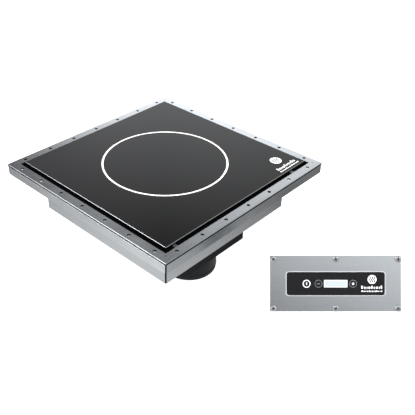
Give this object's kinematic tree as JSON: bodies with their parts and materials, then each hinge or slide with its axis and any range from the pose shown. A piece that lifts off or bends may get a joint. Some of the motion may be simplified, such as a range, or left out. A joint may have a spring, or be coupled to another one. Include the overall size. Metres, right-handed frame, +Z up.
{
  "type": "induction hob",
  "caption": "Square drop-in induction hob with black glass, stainless frame and casing, air-inlet spigot below, and a separate stainless control panel with keys and display.",
  "frame": {"origin": "centre of the flange's top face, the plane that the counter meets", "axes": "+Z up out of the glass, -Y towards the cook, +X to the cook's right"},
  "size_m": [0.4, 0.6285, 0.1562],
  "materials": {
    "frame_steel": "mottled satin stainless sheet, about 0.35 rough",
    "casing_steel": "satin stainless sheet",
    "panel_steel": "stainless brushed along its length",
    "bright_steel": "polished stainless fasteners and wire",
    "black_glass": "opaque black glass-ceramic, polished, with one white printed ring",
    "sealant": "black sealant and rubber, matt",
    "black_plastic": "black moulded plastic with a blue tint",
    "label_black": "black printed film, satin",
    "display": "pale display pane",
    "aluminium": "plain mill finish",
    "copper": null,
    "ferrite": "pressed ferrite, dull",
    "mica": "mica sheet",
    "board_green": "solder-masked laminate",
    "cream_plastic": "heat-proof moulded plastic",
    "chip_black": "moulded component body",
    "brass": "plain brass"
  },
  "bodies": {
    "root": {"air_spigot": "black_plastic", "board_tray": "cream_plastic", "bottom_cover": "casing_steel", "casing_tub": "casing_steel", "coil_spring_1": "bright_steel", "coil_spring_2": "bright_steel", "coil_spring_3": "bright_steel", "coil_support": "cream_plastic", "coil_tray": "aluminium", "control_socket": "black_plastic", "display_window": "display", "earth_stud": "brass", "faceplate_screw_1": "bright_steel", "faceplate_screw_2": "bright_steel", "faceplate_screw_3": "bright_steel", "faceplate_screw_4": "bright_steel", "faceplate_screw_5": "bright_steel", "faceplate_screw_6": "bright_steel", "fan_box": "black_plastic", "fan_guard": "bright_steel", "fan_housing": "black_plastic", "ferrite_bar_1": "ferrite", "ferrite_bar_2": "ferrite", "ferrite_bar_3": "ferrite", "ferrite_bar_4": "ferrite", "filter_capacitor": "cream_plastic", "filter_choke": "copper", "glass_plate": "black_glass", "glass_seal": "sealant", "glass_spacer_1": "bright_steel", "glass_spacer_2": "bright_steel", "heatsink": "aluminium", "induction_coil": "copper", "keypad_label": "label_black", "lcd_module": "cream_plastic", "mains_gland": "black_plastic", "mica_sheet": "mica", "minus_switch": "black_plastic", "mounting_frame": "frame_steel", "panel_back_box": "casing_steel", "panel_board": "board_green", "panel_faceplate": "panel_steel", "panel_grommet": "sealant", "plus_switch": "black_plastic", "power_board": "board_green", "power_switch": "black_plastic", "rectifier": "chip_black", "resonant_capacitor": "cream_plastic", "temperature_sensor": "cream_plastic", "terminal_block": "cream_plastic", "transistor_1": "chip_black", "transistor_2": "chip_black"},
    "fan_rotor_body": {"fan_rotor": "black_plastic"},
    "power_key_body": {"power_key": "label_black"},
    "minus_key_body": {"minus_key": "label_black"},
    "plus_key_body": {"plus_key": "label_black"}
  },
  "joints": [
    {"name": "fan_spin", "type": "hinge", "parent": "root", "child": "fan_rotor_body", "pos_m": [-0.043, -0.101, -0.08], "axis": [0, 0, 1], "continuous": true},
    {"name": "power_press", "type": "slide", "parent": "root", "child": "power_key_body", "axis": [0.6088, 0.5983, -0.521], "range_m": [0, 0.0004], "stiffness_N_per_m": 2500, "springref_m": -0.0002},
    {"name": "minus_press", "type": "slide", "parent": "root", "child": "minus_key_body", "axis": [0.6088, 0.5983, -0.521], "range_m": [0, 0.0004], "stiffness_N_per_m": 2500, "springref_m": -0.0002},
    {"name": "plus_press", "type": "slide", "parent": "root", "child": "plus_key_body", "axis": [0.6088, 0.5983, -0.521], "range_m": [0, 0.0004], "stiffness_N_per_m": 2500, "springref_m": -0.0002}
  ]
}
